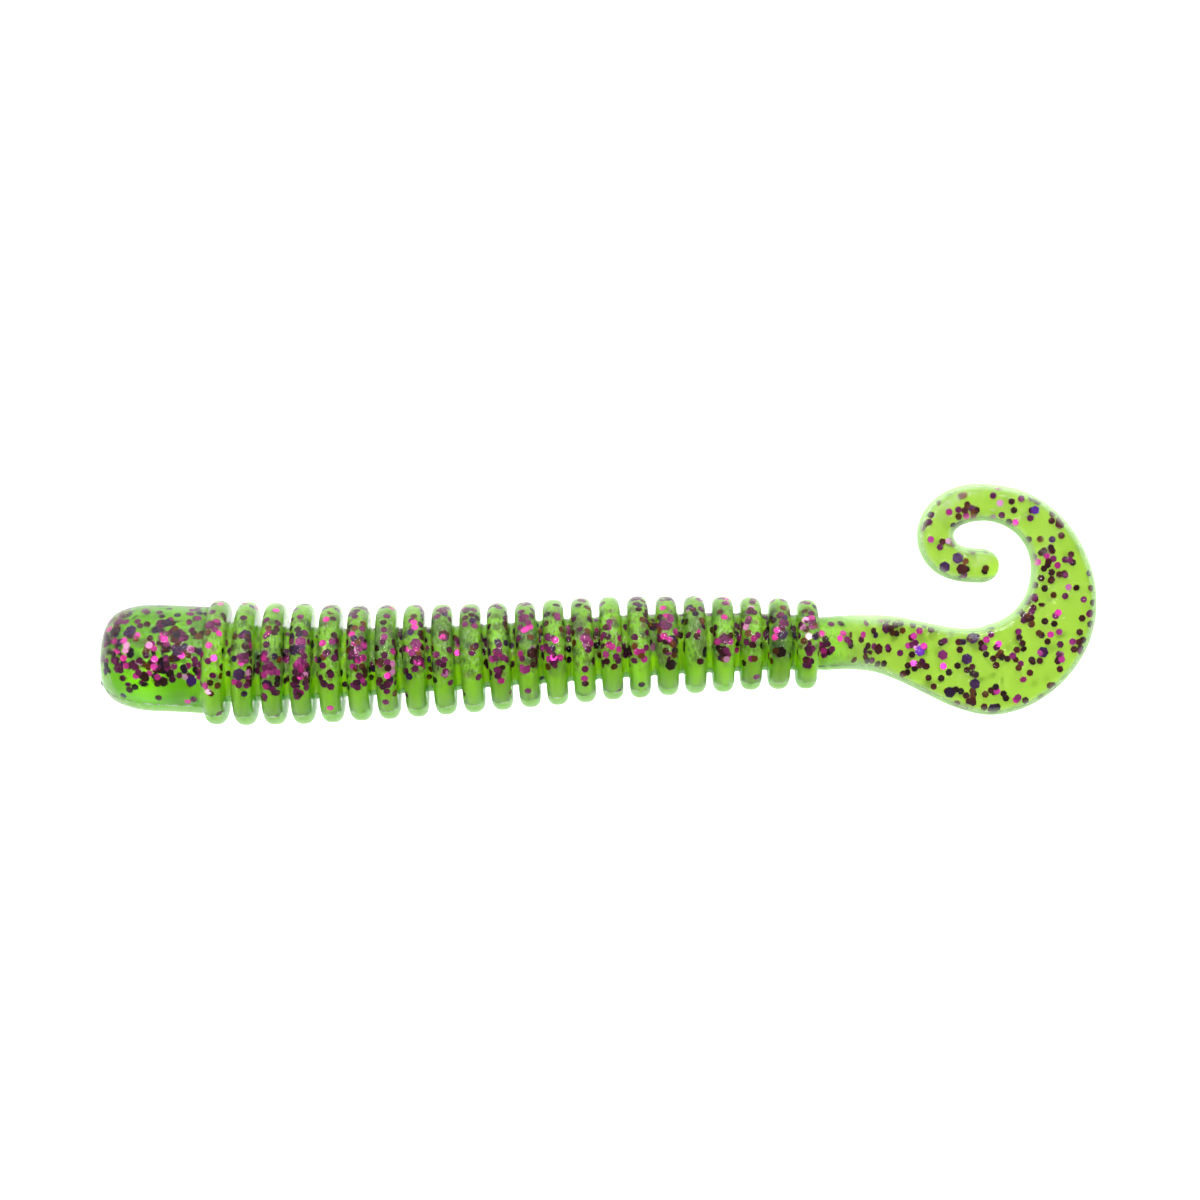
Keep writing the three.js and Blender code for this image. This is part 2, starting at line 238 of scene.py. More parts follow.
RIM = 0.94      # half width of a ring's rounded rim
BASE = 0.96     # half width at its root
FILLET = 0.13
RING_CLEAR = (0.15, 0.42)          # at its sides, and at its crest
crest_index = []
face_index = []


def core_radius(r):
    """The cloudy middle's radius where the skin's is r."""
    return r * 0.745 if r < 4.5 else r - 0.85


for i, (x, y, r, heading) in enumerate(RINGS):
    th = math.radians(heading)
    prof = []
    left_core = CORE[i - 1] if i else 4.74
    right_core = CORE[i]
    rim = RIM * (0.985 + 0.03 * rng.random())

    def wall(core, sign, steps=5):
        pts = []
        f = FILLET if core < 4.5 else 0.08
        for q in (0.0, 0.35, 0.7, 1.0):
            ang = q * math.pi / 2
            pts.append((BASE + f * (1 - math.sin(ang)), core + f * (1 - math.cos(ang))))
        top = r - rim
        for q in range(1, steps):
            t = q / steps
            pts.append((BASE + (rim - BASE) * t, core + f + (top - core - f) * t))
        return [(sign * a, b) for a, b in pts]
    if r - rim > left_core + 0.2:
        prof += wall(left_core, -1)
    else:
        prof += [(-rim - 0.02, left_core)]
    start = math.pi if r - rim > left_core else math.pi - math.asin(min(1.0, (left_core + 0.06 - (r - rim)) / rim))
    arc = np.linspace(start, 0.0, 15)
    crest = int(np.argmin(np.abs(arc - math.pi / 2)))
    crest_index.append(len(stations) + len(prof) + crest)
    prof += [(math.copysign(rim * abs(math.cos(q)) ** 0.84, math.cos(q)), r - rim + rim * abs(math.sin(q)) ** 0.84) for q in arc]
    prof += wall(right_core, 1)[::-1]
    face_index.append((len(stations), len(stations) + len(prof) - 1))
    for a, rho in prof:
        near = np.clip((r - rho) / max(r - right_core, 0.1), 0, 1)
        shift = CORE_SHIFT[i if a > 0 else max(i - 1, 0)] * near
        here = left_core if a < 0 else right_core
        foot = core_radius(here)
        share = float(np.clip((rho - here) / (r - here), 0, 1))
        squeeze = 0.84 + 0.16 * (1 - float(np.clip((rho - here) / 0.6, 0, 1)))
        wide, high = (foot + (r - clear - foot) * share for clear in RING_CLEAR)
        put((x + a * math.cos(th), y + a * math.sin(th), r), th, rho, rho, 0.0, a + x, f"ring{i}", shift=shift,
            core=(a * (squeeze - 1), wide, high))
    # two stations across the groove floor
    if i + 1 < len(RINGS):
        nx, ny, nr, nh = RINGS[i + 1]
        n_th = math.radians(nh)
        w = BASE + FILLET
        ax, ay = x + w * math.cos(th), y + w * math.sin(th)
        bx, by = nx - w * math.cos(n_th), ny - w * math.sin(n_th)
        for t in (0.33, 0.67):
            put((ax + (bx - ax) * t, ay + (by - ay) * t, r + (nr - r) * t), th + (n_th - th) * t, CORE[i] - 0.015,
                CORE[i] - 0.015, 0.0, ax + (bx - ax) * t, f"groove{i}", shift=CORE_SHIFT[i],
                core=(0.0, core_radius(CORE[i]), core_radius(CORE[i])))
STEM_START = len(stations)
tail_s = list(np.arange(-0.62, 8.0, 0.18)) + list(np.arange(8.0, LAST - 0.05, 0.155)) + [LAST]


def tail_core(s, a, b, back=0.0):
    thin = float(smooth((s + 1) / 8.0))
    return back, a - (0.18 * a * (1 - thin) + 0.14 * thin), b * (0.745 * (1 - thin) + 0.50 * thin)


for s in tail_s:
    x, y, a = (float(v) for v in tail_at(s))
    b = min(float(half(s)), a * 1.02)
    flat = float(np.clip((a / b - 1.0) / 0.6, 0, 1))
    put((x, y, float(under(s)) + float(half(s))), float(tail_heading(s)), a + 0.06, b, flat, s, "tail", core=tail_core(s, a, b))
    stations[-1]["s"] = s
th = float(tail_heading(LAST))
lx, ly, la = (float(v) for v in tail_at(LAST))
for t in (12, 24, 36, 47, 57, 66, 74, 81, 86.5):
    f = TIP_ROUND * math.sin(math.radians(t))
    k = math.cos(math.radians(t))
    bb = BLADE_HALF * (1 - 0.55 * max(0.0, (t - 45) / 45) ** 2)
    wide = max(la * k, 0.05)
    high = min(bb, wide)
    put((lx + f * math.cos(th), ly + f * math.sin(th), BLADE_HALF), th, wide, high,
        float(np.clip((la * k / bb - 1.0) / 0.6, 0, 1)), LAST + f, "tail",
        core=(-0.14 * f / TIP_ROUND, (la - 0.14) * k, 0.5 * BLADE_HALF * min(1.0, high / BLADE_HALF)))
    stations[-1]["s"] = LAST + f
ROWS = len(stations)


def world(st):
    c, d = math.cos(st["h"]), math.sin(st["h"])
    x0, y0, z0 = st["c"]
    return np.stack([x0 - d * st["x"], y0 + c * st["x"], z0 + st["y"]], axis=1)


GRID = np.array([world(st) for st in stations])       # rows x around x 3
DEEP = np.array([world(st) for st in inner])

# the moulding's gate: a small nub low on the nose
gate = np.array([hx0 + 0.22, hy0 - 2.35, RINGS[0][2] + 0.1])
head_rows = GRID[:HEAD_END]
dist = np.linalg.norm(head_rows - gate, axis=2)
push = 0.30 * np.exp(-((dist / 0.38) ** 2))
head_rows[..., 0] -= push * 0.9
head_rows[..., 1] -= push * 0.35

# slight unevenness of a soft casting
def wobble(p, scale, seed):
    r = np.random.RandomState(seed)
    out = np.zeros(p.shape[:-1])
    for _ in range(5):
        k = r.normal(size=3) * scale
        out += np.sin(p @ k + r.uniform(0, 6.28))
    return out / 5


normal_out = GRID - np.array([st["c"] for st in stations])[:, None, :]
normal_out[..., 0] *= 0.2
normal_out /= np.maximum(np.linalg.norm(normal_out, axis=2, keepdims=True), 1e-6)
GRID += normal_out * (wobble(GRID, 0.9, 3) * 0.030 + wobble(GRID, 2.6, 5) * 0.008)[..., None]
# the fine line of flash left by the mould's parting, broken here and there
flash = np.zeros(GRID.shape[:2])
for c in SEAM:
    flash[:, c] = 0.030 + 0.020 * np.clip(wobble(GRID[:, c], 5.0, 11) * 2 + 0.3, -1, 1)
flash[STEM_START:] *= 0.7
flash[:3] = 0
flash[-12:] = 0
GRID += normal_out * flash[..., None]
GRID[..., 2] = np.maximum(GRID[..., 2], 0.0)


def grid_normals(grid, sts):
    """Smooth normals of a whole sheet, so that its pieces join without a seam."""
    du = np.empty_like(grid)
    du[1:-1] = grid[2:] - grid[:-2]
    du[0] = grid[1] - grid[0]
    du[-1] = grid[-1] - grid[-2]
    dv = np.roll(grid, -1, axis=1) - np.roll(grid, 1, axis=1)
    n = np.cross(dv, du)
    size = np.linalg.norm(n, axis=2, keepdims=True)
    n = np.where(size > 1e-9, n / np.maximum(size, 1e-9), 0)
    out = grid - np.array([st["c"] for st in sts])[:, None, :]
    if (n * out).sum(axis=2)[HEAD_END // 2].mean() < 0:
        n = -n
    n[0] = (-math.cos(hh), -math.sin(hh), 0)
    n[-1] = (math.cos(th), math.sin(th), 0)
    return n


NORMAL = grid_normals(GRID, stations)
DEEP_NORMAL = grid_normals(DEEP, inner)

# ------------------------------------------------------------------ materials
def new_material(name):
    m = bpy.data.materials.new(name)
    m.use_nodes = True
    nt = m.node_tree
    nt.nodes.clear()
    out = nt.nodes.new("ShaderNodeOutputMaterial")
    p = nt.nodes.new("ShaderNodeBsdfPrincipled")
    nt.links.new(p.outputs[0], out.inputs[0])
    return m, nt, p


def link(nt, a, b):
    nt.links.new(a, b)


def noise(nt, vector, scale, detail=2.0):
    n = nt.nodes.new("ShaderNodeTexNoise")
    n.inputs["Scale"].default_value = scale
    n.inputs["Detail"].default_value = detail
    link(nt, vector, n.inputs["Vector"])
    return n.outputs["Fac"]


def ramp_of(nt, fac, stops, interpolation="LINEAR"):
    r = nt.nodes.new("ShaderNodeValToRGB")
    r.color_ramp.interpolation = interpolation
    e = r.color_ramp.elements
    e[0].position, e[0].color = stops[0][0], (*stops[0][1], 1)
    e[1].position, e[1].color = stops[-1][0], (*stops[-1][1], 1)
    for pos, col in stops[1:-1]:
        n = e.new(pos)
        n.color = (*col, 1)
    link(nt, fac, r.inputs[0])
    return r.outputs[0]


def blend_colour(nt, kind, fac, a, b):
    m = nt.nodes.new("ShaderNodeMix")
    m.data_type = "RGBA"
    m.blend_type = kind
    if isinstance(fac, float):
        m.inputs[0].default_value = fac
    else:
        link(nt, fac, m.inputs[0])
    for i, v in ((6, a), (7, b)):
        if isinstance(v, tuple):
            m.inputs[i].default_value = (*v, 1)
        else:
            link(nt, v, m.inputs[i])
    return m.outputs[2]


def attribute(nt, name):
    n = nt.nodes.new("ShaderNodeAttribute")
    n.attribute_name = name
    return n.outputs["Fac"]


def spots(nt, coord, scale, size, soft, seed):
    """Soft round spots scattered through the volume, 1 inside and 0 outside."""
    shift = nt.nodes.new("ShaderNodeVectorMath")
    shift.operation = "ADD"
    shift.inputs[1].default_value = (seed, seed * 0.7, seed * 0.3)
    link(nt, coord, shift.inputs[0])
    v = nt.nodes.new("ShaderNodeTexVoronoi")
    v.inputs["Scale"].default_value = scale
    v.inputs["Randomness"].default_value = 1.0
    link(nt, shift.outputs[0], v.inputs["Vector"])
    m = nt.nodes.new("ShaderNodeMapRange")
    m.interpolation_type = "SMOOTHSTEP"
    m.inputs["From Min"].default_value = size + soft
    m.inputs["From Max"].default_value = size - soft
    link(nt, v.outputs["Distance"], m.inputs["Value"])
    return m.outputs[0], v.outputs["Color"]


def clear_material(name):
    """The clear outer layer of the soft plastic, with its faint unevenness and gloss."""
    m, nt, p = new_material(name)
    coord = nt.nodes.new("ShaderNodeTexCoord").outputs["Object"]
    bump = nt.nodes.new("ShaderNodeBump")
    grain = nt.nodes.new("ShaderNodeMapRange")             # finely grained on the body, smoother on the blade
    grain.inputs["To Min"].default_value = 0.60
    grain.inputs["To Max"].default_value = 0.12
    link(nt, attribute(nt, "blade"), grain.inputs["Value"])
    link(nt, grain.outputs[0], bump.inputs["Strength"])
    bump.inputs["Distance"].default_value = 0.00014
    drawn = nt.nodes.new("ShaderNodeVectorMath")
    drawn.operation = "MULTIPLY"
    drawn.inputs[1].default_value = (1.9, 0.7, 1.0)
    link(nt, coord, drawn.inputs[0])
    link(nt, noise(nt, drawn.outputs[0], 5200.0, 4.0), bump.inputs["Height"])
    wide = nt.nodes.new("ShaderNodeBump")
    wide.inputs["Strength"].default_value = 0.25
    wide.inputs["Distance"].default_value = 0.0003
    link(nt, noise(nt, coord, 620.0, 2.0), wide.inputs["Height"])
    link(nt, wide.outputs[0], bump.inputs["Normal"])
    link(nt, bump.outputs[0], p.inputs["Normal"])
    matt, blade, flash = (attribute(nt, key) for key in ("matt", "blade", "flash"))
    glossy = blend_colour(nt, "MIX", blade, (0.88, 1.00, 0.68), (0.95, 1.00, 0.84))
    dull = blend_colour(nt, "MIX", blade, (0.27, 0.78, 0.01), (0.50, 0.84, 0.32))
    bend_of = nt.nodes.new("ShaderNodeMapRange")           # on the body the green holds until the matt is nearly gone
    bend_of.inputs["To Min"].default_value = 0.40
    bend_of.inputs["To Max"].default_value = 1.0
    link(nt, blade, bend_of.inputs["Value"])
    held = nt.nodes.new("ShaderNodeMath")
    held.operation = "POWER"
    held.use_clamp = True
    link(nt, matt, held.inputs[0])
    link(nt, bend_of.outputs[0], held.inputs[1])
    colour = blend_colour(nt, "MIX", held.outputs[0], glossy, dull)
    # pale dots on the parting line: partly the rough flash's own paleness, partly painted glints
    link(nt, blend_colour(nt, "MIX", flash, colour, (0.86, 1.0, 0.70)), p.inputs["Base Color"])

    def by_matt(a, b):
        r = nt.nodes.new("ShaderNodeMapRange")
        r.inputs["To Min"].default_value = a
        r.inputs["To Max"].default_value = b
        link(nt, matt, r.inputs["Value"])
        return r.outputs[0]
    link(nt, by_matt(0.06, 0.28), p.inputs["Roughness"])
    through = nt.nodes.new("ShaderNodeMath")
    through.operation = "SUBTRACT"
    through.use_clamp = True
    link(nt, by_matt(1.0, 0.32), through.inputs[0])
    link(nt, flash, through.inputs[1])
    link(nt, through.outputs[0], p.inputs["Transmission Weight"])
    p.inputs["IOR"].default_value = 1.34
    p.inputs["Specular IOR Level"].default_value = 0.42
    return m


def cloudy_material(name):
    """The cloudy middle: lime, deeper in the core and paler in the blade, with flakes half lost in it."""
    m, nt, p = new_material(name)
    coord = nt.nodes.new("ShaderNodeTexCoord").outputs["Object"]
    # the stop at 0.30 is the grooves' brighter green, a painted glow
    colour = ramp_of(nt, attribute(nt, "tone"), [
        (0.0, (0.250, 0.780, 0.001)), (0.16, (0.285, 0.830, 0.001)), (0.30, (0.530, 1.000, 0.001)), (0.42, (0.490, 0.970, 0.004)),
        (0.75, (0.450, 0.920, 0.060)),
        (1.0, (0.615, 0.915, 0.110))])
    cloud = ramp_of(nt, noise(nt, coord, 330.0, 3.0), [(0.3, (0.93, 0.95, 0.88)), (0.7, (1.0, 1.0, 1.0))])
    colour = blend_colour(nt, "MULTIPLY", 1.0, colour, cloud)
    # paler colour round the blade's rim: a painted highlight along its rounded edge
    rim_painted_highlight = nt.nodes.new("ShaderNodeMath")                  # paler round the rim of the blade
    rim_painted_highlight.operation = "MULTIPLY"
    link(nt, attribute(nt, "matt"), rim_painted_highlight.inputs[0])
    link(nt, attribute(nt, "blade"), rim_painted_highlight.inputs[1])
    colour = blend_colour(nt, "MIX", rim_painted_highlight.outputs[0], colour, (0.58, 0.92, 0.36))
    specks = attribute(nt, "speck")
    for scale, size, soft, seed, tint in ((760.0, 0.30, 0.14, 0.0, (0.075, 0.050, 0.035)),
                                          (900.0, 0.22, 0.12, 3.1, (0.30, 0.07, 0.12)),
                                          (520.0, 0.20, 0.14, 7.7, (0.05, 0.05, 0.075)),
                                          (270.0, 0.22, 0.20, 5.3, (0.16, 0.10, 0.13)),
                                          (310.0, 0.20, 0.16, 9.9, (0.02, 0.10, 0.09)),
                                          (190.0, 0.30, 0.24, 1.7, (0.15, 0.25, 0.14))):
        spot, _ = spots(nt, coord, scale, size, soft, seed)
        here = nt.nodes.new("ShaderNodeMath")
        here.operation = "MULTIPLY"
        link(nt, spot, here.inputs[0])
        link(nt, specks, here.inputs[1])
        colour = blend_colour(nt, "MIX", here.outputs[0], colour, tint)
    streaks = nt.nodes.new("ShaderNodeVectorMath")         # fine grain, drawn out round the body
    streaks.operation = "MULTIPLY"
    streaks.inputs[1].default_value = (2.0, 0.6, 1.0)
    link(nt, coord, streaks.inputs[0])
    grain = noise(nt, streaks.outputs[0], 3600.0, 2.0)
    for stops, tint in ([(0.36, (1.0, 1.0, 1.0)), (0.44, (0.0, 0.0, 0.0))], (0.070, 0.110, 0.060)), \
                       ([(0.59, (0.0, 0.0, 0.0)), (0.68, (1.0, 1.0, 1.0))], (0.80, 0.92, 0.66)):
        here = nt.nodes.new("ShaderNodeMath")
        here.operation = "MULTIPLY"
        link(nt, ramp_of(nt, grain, stops), here.inputs[0])
        link(nt, specks, here.inputs[1])
        colour = blend_colour(nt, "MIX", here.outputs[0], colour, tint)
    link(nt, colour, p.inputs["Base Color"])
    rough = nt.nodes.new("ShaderNodeMapRange")
    rough.inputs["To Min"].default_value = 0.55
    rough.inputs["To Max"].default_value = 0.75
    link(nt, noise(nt, coord, 500.0, 2.0), rough.inputs["Value"])
    link(nt, rough.outputs[0], p.inputs["Roughness"])
    see = nt.nodes.new("ShaderNodeMapRange")
    see.inputs["From Min"].default_value = 0.5
    see.inputs["From Max"].default_value = 0.9
    see.inputs["To Min"].default_value = 0.78
    see.inputs["To Max"].default_value = 0.38
    link(nt, attribute(nt, "tone"), see.inputs["Value"])
    link(nt, see.outputs[0], p.inputs["Transmission Weight"])
    p.inputs["IOR"].default_value = 1.08
    return m


CLEAR = clear_material("soft_plastic_clear")
CLOUDY = cloudy_material("soft_plastic_cloudy")


def flake_material(name, dark, light, metallic, rough):
    m, nt, p = new_material(name)
    p.inputs["Specular IOR Level"].default_value = 0.10    # the film lies in plastic, not in air
    geo = nt.nodes.new("ShaderNodeNewGeometry")
    ramp = nt.nodes.new("ShaderNodeValToRGB")
    e = ramp.color_ramp.elements
    e[0].position, e[0].color = 0.0, (*dark, 1)
    e[1].position, e[1].color = 1.0, (*light, 1)
    nt.links.new(geo.outputs["Random Per Island"], ramp.inputs[0])
    nt.links.new(ramp.outputs[0], p.inputs["Base Color"])
    p.inputs["Metallic"].default_value = metallic
    p.inputs["Roughness"].default_value = rough
    return m


FLAKES = {
    "dark": flake_material("flake_dark", (0.005, 0.002, 0.002), (0.085, 0.005, 0.010), 0.10, 0.45),
    "plum": flake_material("flake_plum", (0.08, 0.008, 0.050), (0.26, 0.016, 0.18), 0.4, 0.35),
    "pink": flake_material("flake_pink", (0.70, 0.020, 0.36), (0.92, 0.06, 0.62), 0.5, 0.25),
    # painted glint: near-white pink flakes coloured as if already catching the light
    "painted_glint": flake_material("flake_painted_glint", (0.95, 0.20, 0.80), (1.0, 0.52, 0.98), 0.3, 0.2),
    "violet": flake_material("flake_violet", (0.018, 0.004, 0.030), (0.058, 0.009, 0.105), 0.3, 0.35),
    "brown": flake_material("flake_brown", (0.060, 0.014, 0.002), (0.200, 0.050, 0.006), 0.1, 0.4),
    "bright": flake_material("flake_bright", (0.07, 0.012, 0.26), (0.13, 0.02, 0.42), 0.5, 0.3),
}

# ------------------------------------------------------------------ pieces of the skin
CHAIN = ["head"] + [f"ring_{i:02d}" for i in range(2, 23)] + [f"stem_{i}" for i in range(1, 6)] \
    + [f"tail_{i:02d}" for i in range(1, 20)] + ["tail_tip"]


def tail_row(s):
    return STEM_START + int(np.argmin(np.abs(np.array(tail_s) - s)))


# rows where one piece ends and the next begins; the weight of the joint runs between them
ends = [0] + crest_index
mids = []
for k in range(len(CUTS)):
    nxt = CUTS[k + 1] if k + 1 < len(CUTS) else None
    mids.append((CUTS[k] + nxt) / 2 if nxt is not None else 47.4)
ends += [tail_row(s) for s in mids] + [ROWS - 1]

along = np.zeros(ROWS)
centres = np.array([st["c"] for st in stations])
along[1:] = np.cumsum(np.linalg.norm(np.diff(centres, axis=0), axis=1))


# just under the parting the mould was matt; the underside is smooth again
matt_band = np.where(COLUMNS > PARTING, 1 - smooth((COLUMNS - 48.5) / 15.0), 0.0)
from_side = np.minimum(np.abs(((COLUMNS + 24) % 48) - 24), 24)   # columns away from either side
angle = COLUMNS * math.pi / 48.0                       # 0 towards the curl's side, a quarter turn is straight up
towards_strip = np.clip((-np.cos(angle) - 0.22) / 0.30, 0, 1)


def tone_of(row):
    """0 is the deep green of the thick body, 1 the pale lime of the thin blade."""
    st = stations[row]
    if st["region"] == "head":
        v = np.full(AROUND, 0.16)
    elif st["region"].startswith("ring"):
        i = int(st["region"][4:])
        r = RINGS[i][2]
        rho = np.hypot(st["x"], st["y"])
        v = np.clip(0.42 + 0.33 * (rho - CORE[i]) / (r - CORE[i]), 0.42, 0.75)
    elif st["region"].startswith("groove"):
        # the grooves get a brighter green than the rings: a painted glow that stands in for light shining through the
        # thin neck and lifts the shade in the grooves
        v = np.full(AROUND, 0.30)
    else:
        return np.full(AROUND, 0.72 + 0.25 * float(smooth((st["s"] + 1) / 4.0)))
    return np.clip(v - 0.10 * towards_strip, 0, 1)


def speck_of(row):
    """How many flakes show in the cloudy middle: nearly none along the strip they settled away from."""
    st = stations[row]
    if st["region"] == "tail":
        return np.full(AROUND, 0.40 * (1 - float(smooth((st["s"] + 1) / 4.0))))
    return 0.78 * (1 - towards_strip) * (1 - np.clip(np.cos(angle) - 0.72, 0, 0.28) / 0.28)


def matt_of(row):
    """Where the skin is matt instead of glossy: under the parting on the body, and faintly round the blade's rim."""
    st = stations[row]
    if st["region"] == "head":                             # it fades out where the columns run together at the nose
        return matt_band * smooth((st["along"] + 60.6 - 0.16 * np.clip(COLUMNS - PARTING, 0, 20)) / 4.4)
    if st["region"] != "tail":
        return matt_band
    blade = float(smooth((st["s"] + 1) / 5.0))
    # this rim value also pales the cloudy middle's colour there: a painted highlight along the blade's rounded edge
    return matt_band * (1 - blade) + 0.95 * blade * (1 - smooth((from_side - 3.0) / 12.0))


def blade_of(row):
    st = stations[row]
    return np.full(AROUND, float(smooth((st["s"] + 1) / 5.0)) if st["region"] == "tail" else 0.0)


grit = np.random.RandomState(17)


def flash_painted_glint_of(row):
    """The fine broken line the parting leaves, pale in broken dots: partly the rough flash's own paleness, partly
    painted glints along the ridge.
    """
    v = np.zeros(AROUND)
    share = 0.25 if stations[row]["region"] == "tail" else 0.40
    for c in SEAM:
        v[c] = 1.0 if grit.uniform() < share else 0.0
    return v


def skin_piece(name, lo, hi):
    """The skin and the cloudy middle between two rows, as one mesh of two sheets."""
    rows = list(range(lo, hi + 1))
    verts, normals, weights_row, faces, slots = [], [], [], [], []
    values = {"tone": [], "speck": [], "matt": [], "blade": [], "flash": []}
    makers = {"tone": tone_of, "speck": speck_of, "matt": matt_of, "blade": blade_of, "flash": flash_painted_glint_of}
    for grid, normal, slot in ((GRID, NORMAL, 0), (DEEP, DEEP_NORMAL, 1)):
        start = {}
        for row in rows:
            start[row] = len(verts)
            if row in (0, ROWS - 1):
                verts.append(grid[row].mean(axis=0))
                normals.append(normal[row][0])
                for key, made in makers.items():
                    values[key].append(float(made(row).mean()) if key in ("tone", "speck", "blade") else 0.0)
                weights_row.append(row)
            else:
                verts.extend(grid[row])
                normals.extend(normal[row])
                for key, made in makers.items():
                    values[key].extend(made(row))
                weights_row.extend([row] * AROUND)
        for row in rows[:-1]:
            a, b = start[row], start[row + 1]
            for j in range(AROUND):
                k = (j + 1) % AROUND
                if row == 0:
                    faces.append((a, b + j, b + k))
                elif row + 1 == ROWS - 1:
                    faces.append((a + j, b, a + k))
                else:
                    faces.append((a + j, b + j, b + k, a + k))
                slots.append(slot)
    me = bpy.data.meshes.new(name)
    me.from_pydata([tuple(v * MM) for v in np.array(verts)], [], faces)
    me.update()
    # outward faces
    f = me.polygons[len(me.polygons) // 4]
    if Vector(f.normal).dot(Vector(normals[f.vertices[0]])) < 0:
        me.flip_normals()
    me.polygons.foreach_set("use_smooth", [True] * len(me.polygons))
    for key, held in values.items():
        attr = me.attributes.new(key, "FLOAT", "POINT")
        attr.data.foreach_set("value", np.array(held, np.float32))
    me.normals_split_custom_set_from_vertices([tuple(n) for n in np.array(normals)])
    me.materials.append(CLEAR)
    me.materials.append(CLOUDY)
    me.polygons.foreach_set("material_index", slots)
    ob = bpy.data.objects.new(name, me)
    scene.collection.objects.link(ob)
    return ob, np.array(weights_row)


def joint_span(k):
    """Rows between which joint k bends: body k before, body k + 1 after."""
    if k < len(RINGS) - 1:
        return face_index[k][1], face_index[k + 1][0]
    if k == len(RINGS) - 1:
        return face_index[k][1], ends[k + 2]
    return ends[k + 1], ends[k + 2]


def row_weight(k, rows):
    a, b = joint_span(k)
    t = (along[rows] - along[a]) / max(along[b] - along[a], 1e-9)
    return smooth(t)


skins = []
NODES = {"head": ["head"], }
for k in range(-1, len(CHAIN) - 1):
    lo, hi = ends[k + 1], ends[k + 2]
    if k == -1:
        ob, rows = skin_piece("skin_head", lo, hi)
        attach(ob, "head")
        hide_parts("head", "ring_01")
        skins.append(ob)
        continue
    a, b = CHAIN[k], CHAIN[k + 1]
    ob, rows = skin_piece(f"skin_{b}", lo, hi)
    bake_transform(ob)
    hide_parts(b)
    skins.append(ob)
# the tip beyond the last joint
ob, rows = skin_piece("skin_tail_end", ends[-2], ends[-1])
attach(ob, "tail_tip")
skins.append(ob)

# ------------------------------------------------------------------ flakes
frand = random.Random(2024)


def sheet_tree(grid):
    faces = []
    for row in range(len(grid) - 1):
        for j in range(AROUND):
            k = (j + 1) % AROUND
            a, b = row * AROUND, (row + 1) * AROUND
            faces.append((a + j, b + j, b + k, a + k))
    return BVHTree.FromPolygons([tuple(v) for v in grid.reshape(-1, 3)], faces)


SKIN_TREE = sheet_tree(GRID)


def depth(p):
    """How far a point is under the skin, negative outside it."""
    place, _, index, _ = SKIN_TREE.find_nearest(p)
    n = Vector(NORMAL[index // AROUND, index % AROUND])
    return (place - p).dot(n)


flake_lists = {k: [] for k in range(-1, len(CHAIN) - 1)}
row_of_piece = []
for k in range(-1, len(CHAIN) - 1):
    row_of_piece.append((ends[k + 1], ends[k + 2], k))
row_of_piece.append((ends[-2], ends[-1], len(CHAIN) - 2))


def piece_at(row):
    for lo, hi, k in row_of_piece:
        if lo <= row <= hi:
            return k
    return row_of_piece[-1][2]


def corners(centre, normal, spin, size):
    x = Vector((1, 0, 0)) if abs(normal.x) < 0.9 else Vector((0, 1, 0))
    x = (x - normal * x.dot(normal)).normalized()
    y = normal.cross(x)
    return [centre + (x * math.cos(spin + j * math.pi / 3) + y * math.sin(spin + j * math.pi / 3)) * size for j in range(6)]


def tilted(normal, sigma):
    side = Vector((frand.gauss(0, 1), frand.gauss(0, 1), frand.gauss(0, 1)))
    side = (side - normal * side.dot(normal)).normalized()
    angle = min(abs(frand.gauss(0, sigma)), 1.45)
    return (normal * math.cos(angle) + side * math.sin(angle)).normalized()


def choose(body, up_facing_for_painted_sheen, share_of_pink=1.0):
    """Kind and size of a flake; the second argument is how squarely it faces up, and pink and near-white flakes, partly
    the glitter's own colours and partly painted reflections of the light, grow more common there.
    """
    q = frand.random()
    if q < (0.065 if body else 0.050):
        return frand.choice(["violet", "violet", "dark", "plum"]), 0.52
    # pink and near-white flakes gather where the skin faces up: partly the glitter's own colour, partly a painted
    # reflection of the light from above
    pink = (0.06 + 0.13 * up_facing_for_painted_sheen) * share_of_pink if body else 0.11
    painted_glint = 0.020 * up_facing_for_painted_sheen if body else 0.010
    plum, violet, brown = (0.46, 0.08, 0.15) if body else (0.18, 0.03, 0.10)
    q = frand.random()
    for kind, share in (("painted_glint", painted_glint), ("pink", pink), ("violet", violet), ("plum", plum), ("brown", brown)):
        if q < share:
            return kind, 0.315 + 0.03 * frand.random()
        q -= share
    return "dark", 0.315 + 0.03 * frand.random()


def drop(row, col, u, v, deep, kind, size, sigma):
    """One flake in the clear layer, if it fits under the skin there."""
    r2, c2 = row + 1, (col + 1) % AROUND

    def at(g):
        return Vector((g[row, col] * (1 - u) * (1 - v) + g[r2, col] * u * (1 - v) + g[row, c2] * (1 - u) * v + g[r2, c2] * u * v))
    top, low, n = at(GRID), at(DEEP), at(NORMAL)
    if n.length < 0.5:
        return False
    n.normalize()
    for _ in range(6):
        normal = tilted(n, sigma)
        centre = top.lerp(low, deep)
        spin = frand.random() * 6.28
        if depth(centre) > 0.03 and all(depth(p) > 0.022 for p in corners(centre, normal, spin, size)):
            flake_lists[piece_at(row)].append((row, centre, kind, size, normal, spin))
            return True
        deep = min(1.15, deep + 0.12)
        sigma *= 0.7
    return False


